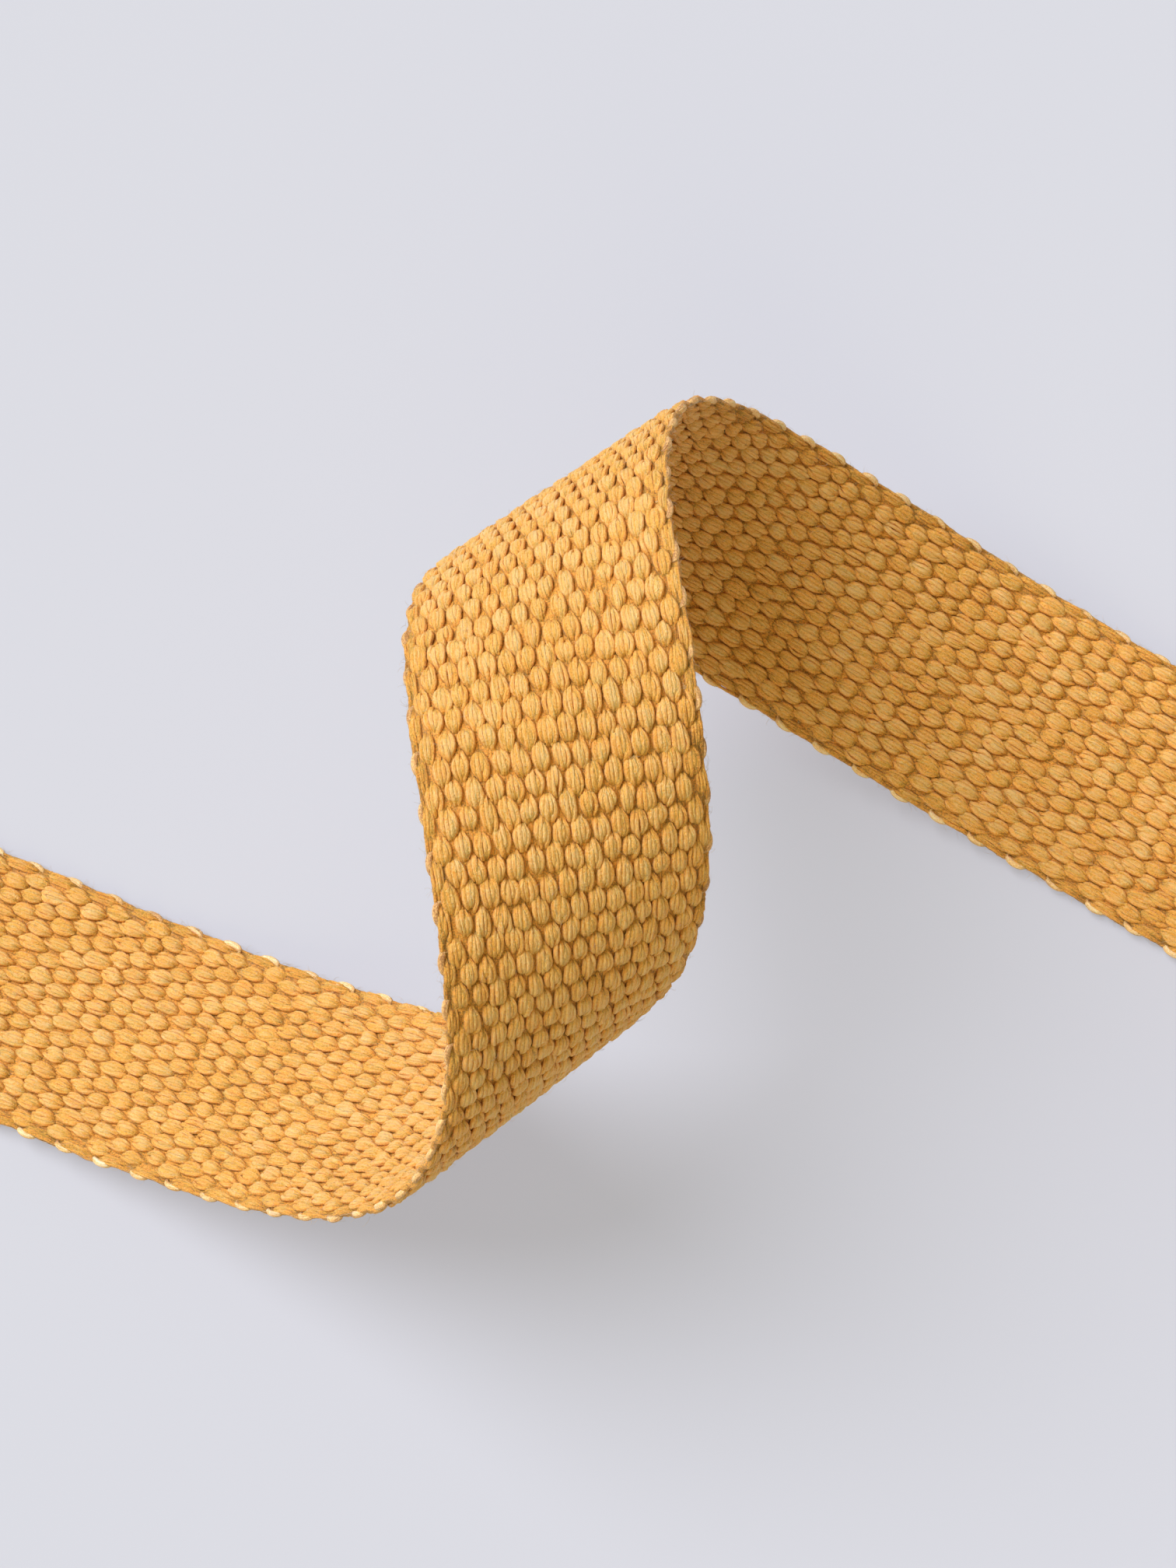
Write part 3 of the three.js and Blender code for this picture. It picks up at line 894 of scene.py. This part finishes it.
def tape_band():
    """A closed band through the roll's core and round its outside, with rounded corners."""
    reach = WIDTH / 2 + ROOM_AT_SIDES
    middle = (tape_outside + tape_inside) / 2
    half = (tape_outside - tape_inside) / 2
    outline = []
    for sx, sy, start in ((1, 1, 0), (-1, 1, 90), (-1, -1, 180), (1, -1, 270)):
        for angle in np.radians(start + np.linspace(0, 90, CORNER_STEPS)):
            x = sx * (reach - TAPE_CORNER) + TAPE_CORNER * math.cos(angle)
            y = sy * (half - TAPE_CORNER) + TAPE_CORNER * math.sin(angle)
            outline.append((x, middle + y))
    outline = np.array(outline + outline[:1])
    gaps = np.linalg.norm(np.diff(outline, axis=0), axis=1)
    far = np.concatenate([[0], np.cumsum(gaps)])
    at = np.linspace(0, far[-1], BAND_RINGS)
    xy = np.stack([np.interp(at, far, outline[:, k]) for k in (0, 1)], -1)
    path = roll_centre + xy[:, :1] * axle + xy[:, 1:] * tie_out
    tangent = unit(np.gradient(path, axis=0))
    normal = np.cross(tie_side, tangent)
    ripple = 1 + TAPE_EDGE_RIPPLE * np.sin(at * 2 * math.pi / TAPE_RIPPLE_PITCH)
    half_width = TAPE_WIDTH / 2 * ripple[None]
    half_height = np.full_like(half_width, TAPE_THICKNESS / 2)
    return sweep(path[None], normal[None], half_width, half_height, BAND_SIDES, at[None], tape_tones(at))


def smooth_path(points, count):
    """A Catmull-Rom curve through the points."""
    p = np.array(points, float)
    p = np.concatenate([[2 * p[0] - p[1]], p, [2 * p[-1] - p[-2]]])
    t = np.linspace(0, len(points) - 1, count)
    i = np.minimum(t.astype(int), len(points) - 2)
    f = (t - i)[:, None]
    a, b, c, d = p[i], p[i + 1], p[i + 2], p[i + 3]
    return 0.5 * (2 * b + (c - a) * f + (2 * a - 5 * b + 4 * c - d) * f**2 + (3 * b - a - 3 * c + d) * f**3)


# One strand of the knot: along the axle, round the roll and outwards, from its own side of the tape.
STRAND = (
    (8, 0, 0.4),
    (4.6, 0.2, 0.7),
    (2.2, 1.4, 0.9),
    (-0.8, 2.0, 1.0),
    (-3.0, 0.4, 1.7),
    (-2.4, -1.8, 2.9),
    (0.4, -2.1, 3.6),
    (2.8, -0.5, 3.2),
    (2.4, 1.7, 2.3),
    (0.6, 3.3, 1.5),
    (0.2, 5.5, 0.7),
)
STRAND_END = STRAND[-1][1]
KNOT_RINGS = 70
KNOT_HALF_WIDTH = 1.8
KNOT_HALF_HEIGHT = 0.95
# How many degrees round the roll each tail ends, and how it lies
TAIL_ENDS = (44, 40)
TAIL_RINGS = 40
TAIL_GAP = 0.03
TAIL_LIFT = 0.6
TAIL_CURL = 1.6
CURL_STARTS = -0.6
TAIL_SWAY = 1.2
SWAY_ENDS = 2.2
TAIL_APART = 0.2
TAIL_WIDTH_SHARE = 0.47
STRAND_FLATNESS = 0.15
FLATTENS_OVER = 2.2
STRAND_TWIST = 0.25
STRAND_SIDES = 16


def knot_strand(turned, tail):
    """A strand that ties with its twin and ends in a tail lying round the roll. turned is 1 or -1."""
    knot = smooth_path(STRAND, KNOT_RINGS)
    knot[:, :2] *= turned
    local = roll_centre + tie_out * (tape_outside + knot[:, 2:]) + axle * knot[:, :1]
    local = local + tie_side * knot[:, 1:2]
    start = STRAND_END / tape_outside + TAIL_GAP
    turn = tie_turn + turned * np.linspace(start, math.radians(tail), TAIL_RINGS)
    lifted = TAIL_LIFT + TAIL_CURL * smooth(np.linspace(CURL_STARTS, 1, TAIL_RINGS))
    radius = tape_outside - spiral_pitch * (turn - tie_turn) / (2 * math.pi) + lifted
    sway = TAIL_SWAY * np.sin(np.linspace(0, SWAY_ENDS, TAIL_RINGS))
    laid = round_roll(turn, radius, turned * (TAIL_APART + sway))
    path = np.concatenate([local, laid])
    outward = np.concatenate([np.tile(tie_out, (len(local), 1)), laid - roll_centre])
    twist = np.concatenate([knot[:, :1] * axle + knot[:, 1:2] * tie_side, 0 * laid])
    normal = unit(unit(outward) + STRAND_TWIST * twist)
    flattening = smooth(np.linspace(0, FLATTENS_OVER, TAIL_RINGS))
    flat = lerp(STRAND_FLATNESS, 1.0, np.concatenate([np.zeros(len(local)), flattening]))[None]
    half_width = lerp(KNOT_HALF_WIDTH, TAPE_WIDTH * TAIL_WIDTH_SHARE, flat)
    half_height = lerp(KNOT_HALF_HEIGHT, TAPE_THICKNESS / 2, flat)
    far = np.concatenate([[0], np.cumsum(np.linalg.norm(np.diff(path, axis=0), axis=1))])
    tones = tape_tones(far)
    return sweep(path[None], normal[None], half_width, half_height, STRAND_SIDES, far[None], tones)


tie_band = make_swept("tie_band", tape_band(), tape_cotton)
both_strands = join([knot_strand(1, TAIL_ENDS[0]), knot_strand(-1, TAIL_ENDS[1])])
tie_knot = make_swept("tie_knot_strands", both_strands, tape_cotton)

# ---- Floor and light ----
FLOOR_REACH = 25000.0


def make_floor():
    """A plain pale floor that gives off a little light of its own, so that its shadows stay pale."""
    material, nodes, links = new_material("pale_floor")
    shader = nodes["Principled BSDF"]
    shader.inputs["Base Color"].default_value = (0.255, 0.25, 0.215, 1)
    shader.inputs["Emission Color"].default_value = (0.92, 0.945, 1.12, 1)
    shader.inputs["Emission Strength"].default_value = 0.355
    shader.inputs["Roughness"].default_value = 0.95
    shader.inputs["Specular IOR Level"].default_value = 0.1
    corners = FLOOR_REACH * np.array([[-1, -1, 0], [1, -1, 0], [1, 1, 0], [-1, 1, 0]])
    floor = make_mesh("floor", corners, [np.array([[0, 1, 2, 3]])], material)


def make_light(name, towards, spread, strength, colour):
    """A distant soft light, as wide as spread in degrees. It lights the whole floor evenly."""
    data = bpy.data.lights.new(name, "SUN")
    data.angle = math.radians(spread)
    data.energy = strength
    data.color = colour
    lamp = bpy.data.objects.new(name, data)
    lamp.location = towards
    bpy.context.scene.collection.objects.link(lamp)
    lamp.rotation_euler = (-lamp.location).to_track_quat("-Z", "Y").to_euler()


# A Mix node has one set of sockets for each kind of value. These are its factor's and its colours'.
MIX_FACTOR = 0
MIX_FIRST_COLOUR = 6
MIX_SECOND_COLOUR = 7
MIX_COLOUR_OUT = 2


def make_world():
    """Warm light from all round. The camera sees a pale backdrop instead of its colour."""
    world = bpy.data.worlds.new("studio")
    world.use_nodes = True
    nodes, links = world.node_tree.nodes, world.node_tree.links
    background = nodes["Background"]
    background.inputs["Strength"].default_value = 0.46
    ray = nodes.new("ShaderNodeLightPath")
    mix = nodes.new("ShaderNodeMix")
    mix.data_type = "RGBA"
    mix.inputs[MIX_FIRST_COLOUR].default_value = (1.0, 0.955, 0.66, 1)
    mix.inputs[MIX_SECOND_COLOUR].default_value = (1.6, 1.6, 1.72, 1)
    links.new(ray.outputs["Is Camera Ray"], mix.inputs[MIX_FACTOR])
    links.new(mix.outputs[MIX_COLOUR_OUT], background.inputs["Color"])
    bpy.context.scene.world = world


make_floor()
make_light("key", towards=(-2.25, 1.55, 3.8), spread=46.0, strength=3.76, colour=(0.985, 1.03, 1.42))
make_light("fill", towards=(-0.3, -2.0, 1.4), spread=40.0, strength=0.62, colour=(1.0, 0.95, 0.65))
make_world()
bpy.context.scene.view_settings.view_transform = "Standard"

# ---- What each piece is ----
for piece in (core, *webbing_pieces, hem_top, hem_under, inner_hem, tie_band, tie_knot):
    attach(piece, "root")
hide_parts("webbing_run", "webbing_roll")
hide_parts("hem_needle_thread")
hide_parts("hem_bobbin_thread")
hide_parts("tie_tape")
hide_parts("tie_knot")
